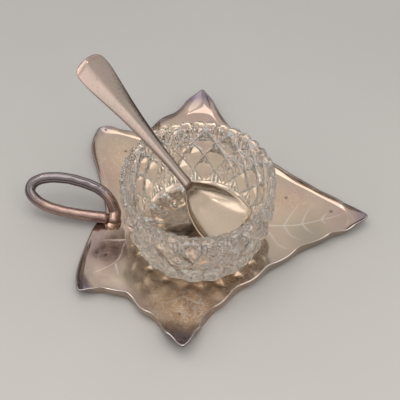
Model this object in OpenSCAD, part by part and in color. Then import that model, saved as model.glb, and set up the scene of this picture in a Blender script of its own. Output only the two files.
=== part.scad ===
// Salt cellar: a leaf tray with a wire loop handle, a cut glass dish that stands on it and a salt spoon.
// Millimetres, +Z up. The origin is on the table under the middle of the dish, and +X runs along the
// leaf towards its long tip.

/* [Leaf tray] */
// Thickness of the plated sheet
sheet_t = 0.9; // [0.6:0.1:1.5]
// Offset of the leaf's middle line from the middle of the dish
leaf_shift = 7.2; // [0:0.1:8]
// Flat floor left free around the dish's base
seat_gap = 1; // [0.5:0.1:4]
// Reach of the long front lobe beyond the seat of the dish
front_reach = 33.8; // [24:0.1:44]
// Reach of the two side lobes beyond the seat
side_reach = 31.8; // [22:0.1:40]
// Direction of the side lobes, measured from the front lobe
side_turn = 92; // [86:1:98]
// Reach of the two back lobes beyond the seat
back_reach = 28; // [20:0.1:36]
// Direction of the back lobes, measured from the front lobe
back_turn = 137.7; // [132:0.1:144]
// Reach of the notches between the front and side lobes
front_notch = 10; // [9:0.1:14]
// Direction of the notches between the front and side lobes
front_notch_turn = 63.8; // [58:0.1:68]
// Reach of the notches between the side and back lobes
side_notch = 17.2; // [12:0.1:20]
// Direction of the notches between the side and back lobes
side_notch_turn = 123.6; // [118:0.1:127]
// Reach of the stem notch, where the handle is soldered
stem_notch = 8.4; // [7.5:0.1:12]
// Swell of the back lobes' shoulders beside the stem notch
shoulder = 2.7; // [1:0.1:6]
// Hollow of the edges between the front and side lobes
front_hollow = 0.7; // [0:0.1:2]
// Width of the curved border along the edges
border_w = 1.8; // [1.2:0.1:3]
// Width of the curved border at the lobe tips
tip_border_w = 6; // [4:0.1:9]
// Rise of the turned-up edge above the floor
lip_h = 2.4; // [1.5:0.1:5]
// Extra rise of the edge at the lobe tips
tip_rise = 0.9; // [0:0.1:4]
// Height of the waves along the edge
wave_h = 0.4; // [0:0.1:1]

/* [Loop handle] */
// Diameter of the handle wire
wire_d = 3.6; // [2.5:0.1:4.5]
// Length of the loop from the stem notch to the middle of the wire at its far end
loop_l = 28.8; // [22:0.1:40]
// Width of the loop between the middles of its two strands
loop_w = 10.6; // [9:0.1:16]
// Climb of the loop towards its far end, degrees
loop_climb = 5; // [4:0.5:15]
// Tilt of the loop about its length, degrees
loop_tilt = 38; // [20:1:45]
// Swing of the loop in plan, degrees
loop_turn = 5; // [0:0.5:8]
// Offset of the handle's landing from the leaf's middle line
landing_shift = 4; // [1:0.1:5]
// Gap between the wire and what it is soldered to
solder_gap = 0.1; // [0.05:0.05:0.3]

/* [Glass dish] */
// Diameter of the dish at its widest
dish_d = 50; // [46:0.5:60]
// Diameter of the dish's base
dish_base_d = 40; // [34:0.5:46]
// Height of the dish to the tops of its scallops
dish_h = 28.5; // [24:0.5:36]
// Thickness of the glass under the dish's bowl
dish_floor_t = 6.5; // [4:0.5:10]
// Wall of the dish at its rim
dish_rim_t = 2; // [1.6:0.1:3]
// Diameter of the flat bottom inside the dish
dish_flat_d = 22; // [16:0.5:30]
// Lozenges around the dish
lozenges = 18; // [12:2:24]
// Depth of the mitre cuts between the lozenges
cut_depth = 0.9; // [0.4:0.1:1.2]
// Drop between the scallops of the rim
scallop_h = 0.8; // [0.3:0.1:1.2]
// Depth of the notches between the points of the base
foot_cut = 1.2; // [0:0.1:2]
// Turn of the dish on the tray, degrees
dish_turn = 8; // [0:1:30]

/* [Salt spoon] */
// Length of the handle from its end to the neck
spoon_handle_l = 52; // [44:0.5:64]
// Width of the handle near its end
spoon_handle_w = 12; // [8:0.1:14]
// Width of the neck
neck_w = 3.4; // [2.6:0.1:5]
// Thickness of the neck
neck_t = 2; // [1.4:0.1:2.6]
// Thickness of the handle's end and of the bowl
spoon_t = 1; // [0.8:0.1:1.4]
// Length of the bowl
bowl_l = 20.5; // [16:0.5:24]
// Width of the bowl at its straight front edge
bowl_w = 20.2; // [14:0.1:22]
// Depth of the bowl
bowl_depth = 3.5; // [1.5:0.1:5]
// Bend of the bowl up from the line of the handle, degrees
bowl_bend = 12; // [5:1:18]
// Direction the spoon's bowl points to, degrees from the leaf's length
spoon_turn = -35; // [-60:1:-10]
// Sideways offset of the spoon from the middle of the dish
spoon_shift = 3; // [0:0.1:4]
// Reach of the bowl's front edge past the middle of the dish
bowl_reach = 12.6; // [10:0.1:14]
// Gap left between the spoon and the glass that it rests on
rest_gap = 0.25; // [0.15:0.05:0.4]

/* [Hidden] */
plate_colour = [0.72, 0.66, 0.61];
glass_colour = [0.86, 0.89, 0.87, 0.55];

function mix(a, b, t) = a + (b - a) * t;
function unit(v) = v / norm(v);
function clamp01(t) = max(0, min(1, t));

// Faces of a grid of points, with the last column joined to the first when it is closed
function strip(r0, r1, cols, closed = true) =
    [for (i = [0 : cols - (closed ? 1 : 2)])
        let (n = (i + 1) % cols)
        each [[r0 + i, r0 + n, r1 + n], [r0 + i, r1 + n, r1 + i]]];

// Faces from a closed ring of points to one point in its middle
function fan(ring, hub, cols) = [for (i = [0 : cols - 1]) [ring + (i + 1) % cols, ring + i, hub]];

// Leaf tray outline: corners in polar form about the leaf's middle
leaf_mid = [0, leaf_shift];
seat_r = dish_base_d / 2 + seat_gap;
lobe_tips = [
    [seat_r + front_reach, 0],
    [seat_r + side_reach, side_turn],
    [seat_r + back_reach, back_turn],
    [seat_r + back_reach, -back_turn],
    [seat_r + side_reach, -side_turn]];
lobe_notches = [
    [seat_r + front_notch, front_notch_turn],
    [seat_r + side_notch, side_notch_turn],
    [seat_r + stem_notch, 180],
    [seat_r + side_notch, -side_notch_turn],
    [seat_r + front_notch, -front_notch_turn]];
edge_swell = [-front_hollow, 0, shoulder, 0, -front_hollow];
lobes = len(lobe_tips);
stem_lobe = 2;
edge_steps = 30;
leaf_pts = lobes * edge_steps;
border_rings = 7;
floor_rings = 3;
notch_round = 0.3;
waves_per_edge = 3;

function polar(c, inset) = leaf_mid + (c[0] - inset) * [cos(c[1]), sin(c[1])];

// Share of a straight side at u, from -1 at one lobe tip over 0 at the notch to 1 at the next tip
function side_share(u) =
    u < -notch_round ? 0 : u > notch_round ? u : (u + notch_round) ^ 2 / (4 * notch_round);

// Point on the edge from tip k to tip k + 1 through the notch between them
function edge_point(k, u, tip_in, notch_in, wave) =
    let (a = polar(lobe_tips[k], tip_in),
         b = polar(lobe_tips[(k + 1) % lobes], tip_in),
         n = polar(lobe_notches[k], notch_in),
         along = u < 0 ? unit(n - a) : unit(b - n),
         out = [along[1], -along[0]],
         bow = edge_swell[k] * sin(180 * abs(u)) - wave * sin(180 * waves_per_edge * abs(u)))
    n + (a - n) * side_share(-u) + (b - n) * side_share(u) + out * bow;

function edge_u(i) = 2 * (i % edge_steps) / edge_steps - 1;
function edge_of(i) = floor(i / edge_steps);
function leaf_rim(i) = edge_point(edge_of(i), edge_u(i), 0, 0, wave_h);
function floor_raw(i) = edge_point(edge_of(i), edge_u(i), tip_border_w, border_w, 0);

// The floor's own edge follows the rim, rounded at the tips
round_span = 3;
function floor_edge(i) =
    let (near = [for (k = [-round_span : round_span]) floor_raw((i + k + leaf_pts) % leaf_pts)])
    [for (axis = [0, 1]) [for (p = near) p[axis]] * [for (p = near) 1] / len(near)];

// The edge lies flat where the wire crosses it at the stem and rises most at the tips
stem = polar(lobe_notches[stem_lobe], 0);
bead_r = wire_d * 0.55;
stem_flat = (landing_shift + 2 * bead_r) / norm(polar(lobe_tips[stem_lobe], 0) - stem);
stem_ease = 0.5;
function rise_at(i) =
    let (u = abs(edge_u(i)),
         up = edge_of(i) == stem_lobe ? clamp01((u - stem_flat) / stem_ease) : 1)
    (lip_h + tip_rise * u ^ 4) * up * up * (3 - 2 * up);

module leaf_tray() {
    rim = [for (i = [0 : leaf_pts - 1]) leaf_rim(i)];
    bed = [for (i = [0 : leaf_pts - 1]) floor_edge(i)];
    rise = [for (i = [0 : leaf_pts - 1]) rise_at(i)];
    upper = [for (k = [0 : border_rings - 1]) let (a = 90 * k / (border_rings - 1))
        for (i = [0 : leaf_pts - 1])
            let (p = mix(bed[i], rim[i], sin(a)))
            [p[0], p[1], sheet_t + rise[i] * (1 - cos(a))]];
    inner = [for (z = [sheet_t, 0]) each concat(
        [for (k = [1 : floor_rings - 1], i = [0 : leaf_pts - 1])
            let (p = mix(bed[i], leaf_mid, k / floor_rings)) [p[0], p[1], z]],
        [[leaf_mid[0], leaf_mid[1], z]])];
    under = [for (k = [0 : border_rings - 1]) let (a = 90 * k / (border_rings - 1))
        for (i = [0 : leaf_pts - 1])
            let (q = upper[k * leaf_pts + i],
                 slope = atan2(rise[i] * sin(a), norm(rim[i] - bed[i]) * cos(a)),
                 p = [q[0], q[1]] + unit(rim[i] - bed[i]) * sheet_t * sin(slope))
            [p[0], p[1], q[2] - sheet_t * cos(slope)]];
    low = len(upper);
    last = (border_rings - 1) * leaf_pts;
    top_hub = 2 * low + len(inner) / 2 - 1;
    low_hub = 2 * low + len(inner) - 1;
    top_ring = [for (k = [0 : floor_rings - 1]) k == 0 ? 0 : 2 * low + (k - 1) * leaf_pts];
    low_ring = [for (k = [0 : floor_rings - 1]) k == 0 ? low : top_hub + 1 + (k - 1) * leaf_pts];
    color(plate_colour)
        polyhedron(concat(upper, under, inner), concat(
            fan(top_ring[floor_rings - 1], top_hub, leaf_pts),
            [for (k = [1 : floor_rings - 1]) each strip(top_ring[k], top_ring[k - 1], leaf_pts)],
            [for (k = [0 : border_rings - 2]) each strip(k * leaf_pts, (k + 1) * leaf_pts, leaf_pts)],
            strip(last, low + last, leaf_pts),
            [for (k = [0 : border_rings - 2])
                each strip(low + (k + 1) * leaf_pts, low + k * leaf_pts, leaf_pts)],
            [for (k = [1 : floor_rings - 1]) each strip(low_ring[k - 1], low_ring[k], leaf_pts)],
            [for (f = fan(low_ring[floor_rings - 1], low_hub, leaf_pts)) [f[1], f[0], f[2]]]),
            convexity = 8);
}

// Loop handle: a finger loop of wire, drawn in its own tilted plane as shares of its length and width
wire_rest_z = sheet_t + wire_d / 2 + solder_gap;
wire_end_in = wire_d * 0.6;
landing_side = wire_d * 0.75;
landing_lift = wire_d * 0.22;
landing_short = wire_d * 0.25;
loop_shape = [
    [0.08, 0], [0.4, -0.03], [0.64, -0.02], [0.84, 0.08], [0.965, 0.27], [1, 0.48], [0.95, 0.73],
    [0.8, 0.93], [0.58, 1], [0.34, 0.94], [0.14, 0.79], [0.01, 0.55]];
wire_sides = 12;
loop_steps = 5;

// Point of the loop's plane, p along its length and q across it
function loop_at(c) =
    let (p = c[0] * loop_l, q = c[1] * loop_w, out = p * cos(loop_climb))
    [stem[0] + wire_end_in - out * cos(loop_turn),
     stem[1] - landing_shift + out * sin(loop_turn) + q * cos(loop_tilt),
     wire_rest_z + p * sin(loop_climb) + q * sin(loop_tilt)];
landing = loop_at([0, 0]);
wire_route = concat([for (c = loop_shape) loop_at(c)],
    [landing + [0, landing_side, landing_lift], landing + [0, landing_short, 0]]);

function spline(a, b, c, d, t) =
    0.5 * (2 * b + (c - a) * t + (2 * a - 5 * b + 4 * c - d) * t ^ 2 + (3 * b - a - 3 * c + d) * t ^ 3);
function smooth_route(r, steps) =
    let (n = len(r) - 1)
    [for (k = [0 : n - 1]) for (s = [0 : steps - (k == n - 1 ? 0 : 1)])
        spline(r[max(0, k - 1)], r[k], r[k + 1], r[min(n, k + 2)], s / steps)];

// Tube along a route: its rings are square to the route and turned alike about a line it never follows
ring_line = [0.2, 0.35, 0.9];
module tube(route, d, sides) {
    n = len(route);
    rings = [for (k = [0 : n - 1])
        let (t = unit(route[min(n - 1, k + 1)] - route[max(0, k - 1)]),
             x = unit(cross(ring_line, t)),
             y = cross(t, x))
        for (i = [0 : sides - 1]) route[k] + d / 2 * (x * cos(360 * i / sides) + y * sin(360 * i / sides))];
    polyhedron(rings, concat(
        [[for (i = [0 : sides - 1]) i]],
        [for (k = [0 : n - 2]) each strip((k + 1) * sides, k * sides, sides)],
        [[for (i = [sides - 1 : -1 : 0]) (n - 1) * sides + i]]), convexity = 4);
}

module loop_handle() {
    color(plate_colour)
        tube(smooth_route(wire_route, loop_steps), wire_d, wire_sides);
}

// Solder bead: a flattened drop on the floor against the wire's end
module solder_bead() {
    end = wire_route[len(wire_route) - 1];
    color(plate_colour)
        intersection() {
            translate([end[0], end[1] - solder_gap, sheet_t]) sphere(bead_r, $fn = 48);
            translate([end[0] - wire_d, end[1] - solder_gap - wire_d, sheet_t])
                cube([2 * wire_d, wire_d, wire_d]);
        }
}

// Glass dish profile, with z counted from the base
dish_r = dish_d / 2;
dish_base_r = dish_base_d / 2;
dish_z = sheet_t;
belly_share = 0.72;
rim_draw_in = 0.4;
bowl_power = 5;
mouth_r = dish_r - rim_draw_in - dish_rim_t;
flat_r = dish_flat_d / 2;
bowl_deep = dish_h - dish_floor_t;
lozenge_cols = 4;
lozenge_rows = 8;
cols = lozenges * lozenge_cols;
band_margin = 3;
base_rings = 2;
inner_rings = 9;
base_bevel = 0.8;

function dish_outer_r(z) =
    let (t = z / dish_h / belly_share, over = max(0, (z / dish_h - belly_share) / (1 - belly_share)))
    dish_base_r + (dish_r - dish_base_r) * (1 - (1 - min(1, t)) ^ 2) - rim_draw_in * over ^ 2;
function dish_inner_z(r) =
    dish_floor_t + bowl_deep * clamp01((r - flat_r) / (mouth_r - flat_r)) ^ bowl_power;

// The base has a point under every lozenge: 0 at the point, 1 in the notch beside it
function foot_share(i) = 1 - abs(2 * (i % lozenge_cols) / lozenge_cols - 1);

// The two crossing families of mitre cuts at column i of row j
function on_cut(i, j) = (i + j) % lozenge_cols == 0 || (i - j + cols) % lozenge_cols == 0;

module glass_dish() {
    ring = function (r, z, lift, notch) [for (i = [0 : cols - 1])
        let (a = dish_turn + 360 * i / cols, cut_r = r - notch * foot_share(i))
        [cut_r * cos(a), cut_r * sin(a), z + (i % 2 == 0 ? lift : 0)]];
    band = [for (j = [0 : lozenge_rows]) let (z = mix(band_margin, dish_h - band_margin, j / lozenge_rows))
        for (i = [0 : cols - 1])
            let (a = dish_turn + 360 * i / cols,
                 r = dish_outer_r(z) - (on_cut(i, j) ? cut_depth : 0))
            [r * cos(a), r * sin(a), z]];
    inner = [for (k = [0 : inner_rings - 1])
        let (r = mix(mouth_r, flat_r, k / (inner_rings - 1)))
        each ring(r, dish_inner_z(r) - (k == 0 ? scallop_h : 0), k == 0 ? scallop_h : 0, 0)];
    points = concat(
        ring(dish_base_r - base_bevel, 0, 0, foot_cut),
        ring(dish_base_r, base_bevel, 0, foot_cut),
        band,
        ring(dish_outer_r(dish_h), dish_h - scallop_h, scallop_h, 0),
        inner);
    rings = len(points) / cols;
    // Each cell of the band is split along the cut that crosses it
    function cell(k, i) =
        let (n = (i + 1) % cols, a = k * cols + i, b = k * cols + n, c = a + cols, d = b + cols,
             j = k - base_rings,
             up_cut = (i - j + cols) % lozenge_cols == 0)
        up_cut ? [[a, d, b], [a, c, d]] : [[a, c, b], [b, c, d]];
    color(glass_colour)
        translate([0, 0, dish_z])
            polyhedron(points, concat(
                [[for (i = [0 : cols - 1]) i]],
                [for (k = [0 : rings - 2]) for (i = [0 : cols - 1]) each cell(k, i)],
                [[for (i = [cols - 1 : -1 : 0]) (rings - 1) * cols + i]]), convexity = 6);
}

// Salt spoon in its own axes: s forward from the neck, w sideways, n up from the line of the handle
spoon_stations = 64;
spoon_across = 12;
end_round = spoon_handle_w * 0.36;
corner_round = 1.5;
bowl_widen = bowl_l * 0.67;
end_blunt = 0.02;
handle_power = 1.8;
bowl_side_power = 0.9;
bowl_wall_power = 5;
bowl_dip_power = 0.6;
taper_power = 1.5;
edge_thin = 0.5;

function spoon_half_w(s) =
    s < 0
        ? let (straight = spoon_handle_l - end_round,
               b = -s - straight,
               full = mix(neck_w, spoon_handle_w, min(1, -s / straight) ^ handle_power) / 2)
            b > 0 ? full * sqrt(max(end_blunt, 1 - (b / end_round) ^ 2)) : full
        : let (c = (s - bowl_l + corner_round) / corner_round,
               full = mix(neck_w, bowl_w, sin(90 * min(1, s / bowl_widen)) ^ bowl_side_power) / 2)
            c > 0 ? full - corner_round * (1 - sqrt(max(0, 1 - c * c))) : full;
function spoon_thick(s) = s < 0
    ? mix(neck_t, spoon_t, min(1, -s / spoon_handle_l) ^ taper_power)
    : mix(neck_t, spoon_t, min(1, s / bowl_widen));
function spoon_body(s, v) = spoon_thick(s) * (1 - edge_thin * v * v);
function spoon_top(s, v) = s < 0
    ? spoon_body(s, v) / 2
    : let (dip = bowl_depth * sin(180 * (s / bowl_l) ^ bowl_dip_power) * (1 - abs(v) ^ bowl_wall_power))
        s * tan(bowl_bend) + spoon_body(s, v) / 2 - dip;
function spoon_under(s, v) = spoon_top(s, v) - spoon_body(s, v);

// The spoon lies with its handle on the rim's inner edge and its bowl's outer corner on the glass
rim_touch = [-sqrt(mouth_r ^ 2 - spoon_shift ^ 2), dish_z + dish_h + rest_gap];
corner_r = norm([bowl_reach, spoon_shift + bowl_w / 2]);
bowl_touch = [bowl_reach, dish_z + dish_inner_z(corner_r) + rest_gap];
span = bowl_touch - rim_touch;
stem_under = spoon_under(bowl_l - norm(span), 0);
under_step = spoon_under(bowl_l, 1) - stem_under;
touch_l = sqrt(span * span - under_step ^ 2);
rest_l = touch_l - bowl_l;
spoon_slope = atan2(under_step, touch_l) - atan2(span[1], span[0]);
spoon_neck = rim_touch + [
    rest_l * cos(spoon_slope) - stem_under * sin(spoon_slope),
    -rest_l * sin(spoon_slope) - stem_under * cos(spoon_slope)];

function spoon_place(s, w, n) =
    let (u = spoon_neck[0] + s * cos(spoon_slope) + n * sin(spoon_slope),
         z = spoon_neck[1] - s * sin(spoon_slope) + n * cos(spoon_slope),
         v = spoon_shift + w)
    [u * cos(spoon_turn) - v * sin(spoon_turn), u * sin(spoon_turn) + v * cos(spoon_turn), z];

module salt_spoon() {
    rows = spoon_across + 1;
    // Stations crowd towards the rounded end and the bowl
    run = [for (i = [0 : spoon_stations]) let (t = i / spoon_stations)
        t < 0.5 ? -spoon_handle_l * cos(180 * t) : bowl_l * (2 * t - 1)];
    upper = [for (s = run) for (i = [0 : spoon_across]) let (v = 2 * i / spoon_across - 1)
        spoon_place(s, v * spoon_half_w(s), spoon_top(s, v))];
    under = [for (s = run) for (i = [0 : spoon_across]) let (v = 2 * i / spoon_across - 1)
        spoon_place(s, v * spoon_half_w(s), spoon_under(s, v))];
    low = len(upper);
    top_row = len(run) - 1;
    left = [for (k = [0 : top_row]) k * rows];
    right = [for (k = [0 : top_row]) k * rows + rows - 1];
    function wall(path) = [for (k = [0 : len(path) - 2])
        each [[path[k], low + path[k], low + path[k + 1]], [path[k], low + path[k + 1], path[k + 1]]]];
    function back(path) = [for (k = [len(path) - 1 : -1 : 0]) path[k]];
    color(plate_colour)
        polyhedron(concat(upper, under), concat(
            [for (k = [0 : top_row - 1]) each strip(k * rows, (k + 1) * rows, rows, false)],
            [for (k = [0 : top_row - 1]) each strip(low + (k + 1) * rows, low + k * rows, rows, false)],
            wall(back(left)),
            wall(right),
            wall([for (i = [spoon_across : -1 : 0]) top_row * rows + i]),
            wall([for (i = [0 : spoon_across]) i])), convexity = 6);
}

leaf_tray();
loop_handle();
solder_bead();
glass_dish();
salt_spoon();
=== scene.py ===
import math

import bpy
import numpy as np
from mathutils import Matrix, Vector


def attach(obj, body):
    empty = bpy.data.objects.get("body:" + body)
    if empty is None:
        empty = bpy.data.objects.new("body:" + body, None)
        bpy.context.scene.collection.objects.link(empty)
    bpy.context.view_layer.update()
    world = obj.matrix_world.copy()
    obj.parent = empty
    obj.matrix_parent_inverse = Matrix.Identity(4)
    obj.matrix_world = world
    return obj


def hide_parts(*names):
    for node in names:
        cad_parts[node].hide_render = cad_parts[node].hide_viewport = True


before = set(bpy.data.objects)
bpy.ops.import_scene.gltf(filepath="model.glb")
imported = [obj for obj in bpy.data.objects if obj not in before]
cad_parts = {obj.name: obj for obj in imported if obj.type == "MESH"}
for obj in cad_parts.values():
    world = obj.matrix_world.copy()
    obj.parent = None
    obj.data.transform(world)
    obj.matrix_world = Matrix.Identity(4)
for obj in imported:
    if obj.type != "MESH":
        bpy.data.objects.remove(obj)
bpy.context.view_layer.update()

mm = 0.001  # every size below is in millimetres, every mesh in metres


def hexLinear(code):
    # sRGB hex colour to the linear colour that a shader takes
    parts = [int(code[i:i + 2], 16) / 255 for i in (1, 3, 5)]
    return [c / 12.92 if c <= 0.04045 else ((c + 0.055) / 1.055) ** 2.4 for c in parts] + [1.0]


def addNode(tree, kind, settings=None, inputs=None):
    node = tree.nodes.new(kind)
    for key, value in (settings or {}).items():
        setattr(node, key, value)
    for key, value in (inputs or {}).items():
        if isinstance(value, bpy.types.NodeSocket):
            tree.links.new(value, node.inputs[key])
        else:
            node.inputs[key].default_value = value
    return node


def noiseShare(tree, place, scale, **inputs):
    return addNode(tree, "ShaderNodeTexNoise", inputs={
        "Vector": place, "Scale": scale, **inputs}).outputs["Fac"]


def mapRange(tree, value, low=0.0, high=1.0, toLow=0.0, toHigh=1.0, curve="LINEAR"):
    return addNode(tree, "ShaderNodeMapRange", {"interpolation_type": curve}, {
        "Value": value, "From Min": low, "From Max": high, "To Min": toLow, "To Max": toHigh}).outputs[0]


def mathShare(tree, operation, *values, clamp=False):
    return addNode(tree, "ShaderNodeMath", {"operation": operation, "use_clamp": clamp},
                   dict(enumerate(values))).outputs[0]


def paintedShare(tree, name):
    return addNode(tree, "ShaderNodeAttribute", {"attribute_name": name}).outputs["Fac"]


def mixColour(tree, share, first, second, blend="MIX"):
    # first and second are hex colours or other nodes' outputs
    first, second = [hexLinear(c) if isinstance(c, str) else c for c in (first, second)]
    return addNode(tree, "ShaderNodeMix", {"data_type": "RGBA", "blend_type": blend}, {
        0: share, 6: first, 7: second}).outputs[2]


def newMaterial(name):
    material = bpy.data.materials.new(name)
    material.use_nodes = True
    tree = material.node_tree
    tree.nodes.clear()
    place = addNode(tree, "ShaderNodeTexCoord").outputs["Object"]
    return material, tree, place


def addSurface(tree, inputs):
    shader = addNode(tree, "ShaderNodeBsdfPrincipled", inputs=inputs)
    addNode(tree, "ShaderNodeOutputMaterial", inputs={"Surface": shader.outputs[0]})


def perMm(size):
    return 1 / (size * mm)  # texture scale that makes one feature this many millimetres wide


def makePiece(name, points, faces, material):
    mesh = bpy.data.meshes.new(name)
    mesh.from_pydata((np.asarray(points) * mm).tolist(), [], faces)
    mesh.polygons.foreach_set("use_smooth", np.ones(len(mesh.polygons), bool))
    mesh.materials.append(material)
    mesh.update()
    piece = bpy.data.objects.new(name, mesh)
    bpy.context.scene.collection.objects.link(piece)
    return piece


def paintAttribute(piece, name, values):
    layer = piece.data.attributes.new(name, "FLOAT", "POINT")
    layer.data.foreach_set("value", np.asarray(values, np.float32))


def stackFaces(rings, count, flip=False):
    # quads between each closed ring of points and the next
    i = np.arange(count)
    n = (i + 1) % count
    faces = []
    for k in range(rings - 1):
        first, second = ((k + 1) * count, k * count) if flip else (k * count, (k + 1) * count)
        faces += np.stack([first + i, second + i, second + n, first + n], 1).tolist()
    return faces


def fanFaces(hub, ring, count, flip=False):
    # triangles from one point to a closed ring of points
    i = np.arange(count)
    n = (i + 1) % count
    return np.stack([np.full(count, hub), ring + (n if flip else i), ring + (i if flip else n)], 1).tolist()


def smoothStep(low, high, x):
    t = np.clip((x - low) / (high - low), 0, 1)
    return t * t * (3 - 2 * t)


def roundAngles(count):
    return np.arange(count) / count * 2 * np.pi


def curveThrough(points, steps):
    # Catmull-Rom curve through a given list of points
    p = np.asarray(points, float)
    p = np.vstack([2 * p[0] - p[1], p, 2 * p[-1] - p[-2]])
    t = np.linspace(0, 1, steps, endpoint=False)[:, None]
    runs = []
    for a, b, c, d in zip(p[:-3], p[1:-2], p[2:-1], p[3:]):
        runs.append(0.5 * (2 * b + (c - a) * t + (2 * a - 5 * b + 4 * c - d) * t ** 2
                           + (3 * b - a - 3 * c + d) * t ** 3))
    return np.vstack(runs + [p[-2:-1]])


def ripple(x, y, waves):
    # slow unevenness of hand-worked metal: a sum of (length, direction, height) waves
    phaseStep = 1.7
    z = np.zeros_like(x)
    for k, (length, turn, height) in enumerate(waves):
        a = math.radians(turn)
        z = z + height * np.sin(2 * math.pi * (x * math.cos(a) + y * math.sin(a)) / length + phaseStep * k)
    return z


print("stage: camera")
shot = {
    "fov": 14.0,
    "distance": 543.0,
    "elevation": 51.03,
    "azimuth": 3.4,
    "target": (-0.28, 15.25, 0.0),
    "nearest": 10.0,
}


def makeCamera():
    e, a = math.radians(shot["elevation"]), math.radians(shot["azimuth"])
    back = Vector((math.sin(a) * math.cos(e), -math.cos(a) * math.cos(e), math.sin(e)))
    data = bpy.data.cameras.new("photoCamera")
    data.angle = math.radians(shot["fov"])
    data.clip_start = shot["nearest"] * mm
    camera = bpy.data.objects.new("photoCamera", data)
    camera.location = (Vector(shot["target"]) + back * shot["distance"]) * mm
    camera.rotation_euler = back.to_track_quat("Z", "Y").to_euler()
    bpy.context.scene.collection.objects.link(camera)
    bpy.context.scene.camera = camera


makeCamera()

print("stage: leaf tray")
leafTray = {  # lists of five go round the leaf from its long tip by the back; each edge starts at its tip
    "sheet": 0.9,
    "middle": (0.0, 7.2),
    "seat": 21.0,  # radius of the flat floor kept under the dish
    "seatEase": (-0.4, 3.0),  # past that radius, where the floor's relief begins and is full
    # reach past the seat, and turn
    "tips": [(34.4, 1.6), (32.0, 92.2), (30.6, 135.4), (28.2, -137.7), (33.0, -92)],
    "notches": [(10.6, 63.8), (17.8, 123.6), (8.4, 180), (17.2, -123.6), (10.0, -63.8)],
    "swells": [(0.8, 0.9), (0.0, 1.9), (2.8, 3.6), (0.0, 0.0), (-0.7, -0.7)],  # of each edge's two flanks
    "skews": [(1, 1), (1, 1), (1.6, 0.8), (1, 1), (1, 1)],  # above 1 the swell sits nearer the tip
    "stemEdge": 2,
    "stemFlat": (0.26, 0.76),  # shares of that edge between which its lip rises beside the handle
    "notchRound": 0.3,
    "borders": [2.8, 2.8, 2.0, 0.35, 0.35],
    "coves": [42, 42, 56, 84, 84],  # turn of the border from floor to edge, degrees
    "tipBorders": [2.4, 4.4, 3.2, 1.6, 0.9],
    "folds": [7.0, 6.2, 4.5, 6.0, 11.0],  # length of the plane bent up at each tip
    "foldSlopes": [0.36, 0.7, 0.1, 0.16, 0.22],
    "foldBows": [500, 9, 500, 500, 500],  # radius of the fold seen from above
    "foldSoft": 1.5,
    "foldAside": (14, 20),  # off the lobe's middle line, where a fold fades out
    "lips": [1.0, 1.0, 1.4, 2.5, 2.9],
    "tipLips": [0.35, 0.3, 0.4, 0.8, 0.8],  # share of the lip left at each tip
    "tipLow": (0.72, 0.98),  # shares of an edge between which the lip falls to that
    "wave": 0.4,
    "waves": 3,  # to each flank of an edge
    "crimps": [0.10, 0.08, 0.04, 0.6, 0.7],  # small waves of the turned-up edge, deepest at the front
    "crimpLength": 11.5,
    "crimpDrift": (1.2, 4),  # how unevenly they follow each other, and how often round the leaf
    "crimpEnd": 0.75,  # share of an edge from which they fade towards the tip
    "crimpRise": 0.7,
    "crimpLag": 6,  # outline points
    "rimRadius": 0.5,
    "edgeSteps": 216,
    "floorRings": 110,
    "floorCrowd": 0.55,  # below 1 the rings crowd outwards
    "borderRings": 22,
    "rimRings": 6,
    "underRings": 30,
    "underRelief": 0.5,
    "underEnd": 0.9,
    # outline points on either side over which one edge's value passes into the next one's
    "blends": {"rim": [4], "bed": [22, 10], "crimps": [20], "lips": [24], "coves": [24], "blackLines": [16],
               "plums": [40]},
    "veinHeight": 0.035,
    "veinWidth": 0.27,
    "veinTaper": 0.45,
    "veinFade": 0.75,
    "veinShine": 0.6,
    "veinSkin": 0.05,
    "veinMargin": 3.0,
    "veinSteps": 8,
    "blackLines": [0.9, 0.9, 0.7, 0.25, 0.15],  # share of painted shade, a dark line along the rim of each edge, deepest on the back edges
    "plums": [0.25, 0.2, 0.35, 0.85, 0.7],  # plum grey tarnish along the border of each lobe
    "plumStart": 0.84,
    # partly tarnish and partly painted shade: each bent-up tip plane is darkened towards its point
    "tipTarnishAndShade": [0.7, 0.95, 0.45, 0.9, 1.0],
    "tipDeep": 0.8,  # share of a fold's length over which its tarnish and painted shade deepen
    "rimDark": 0.9,
    # partly wear and partly painted highlight: the pale crest of the rim, kept off the back edges
    "rimWearAndHighlight": 0.95,
    "wallDark": 0.25,
    # x, y, reach and share of each coloured spot
    # partly brown stain and partly painted light thrown by the glass: golden patches round the dish
    "brownsAndGlassLight": [(0, -29, 16, 1.0), (-28, 31, 10, 0.4), (30, 15, 8, 0.4), (14, -24, 9, 0.5)],
    "blushes": [(-28, -10, 11, 1.0), (0, 48, 9, 0.8), (46, 8, 8, 0.8)],
    # painted reflection: grey patches beside the dish stand for the dish's dark reflection in the tray
    "dishShadeGreys": [(37, 1, 9, 1.0), (26, -8, 8, 0.7), (-21, -18, 8, 0.6)],
    "pits": [(28.3, 17.1), (43.3, 12.0), (-26.8, 34.3), (-34.4, 43.1), (-29.3, -10.1), (-3.9, -31.9)],
    "pitRadius": 0.42,
    "dents": [(34, 20, 0.06), (21, 75, 0.045), (13, 140, 0.022), (8.5, 50, 0.010)],
}
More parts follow.
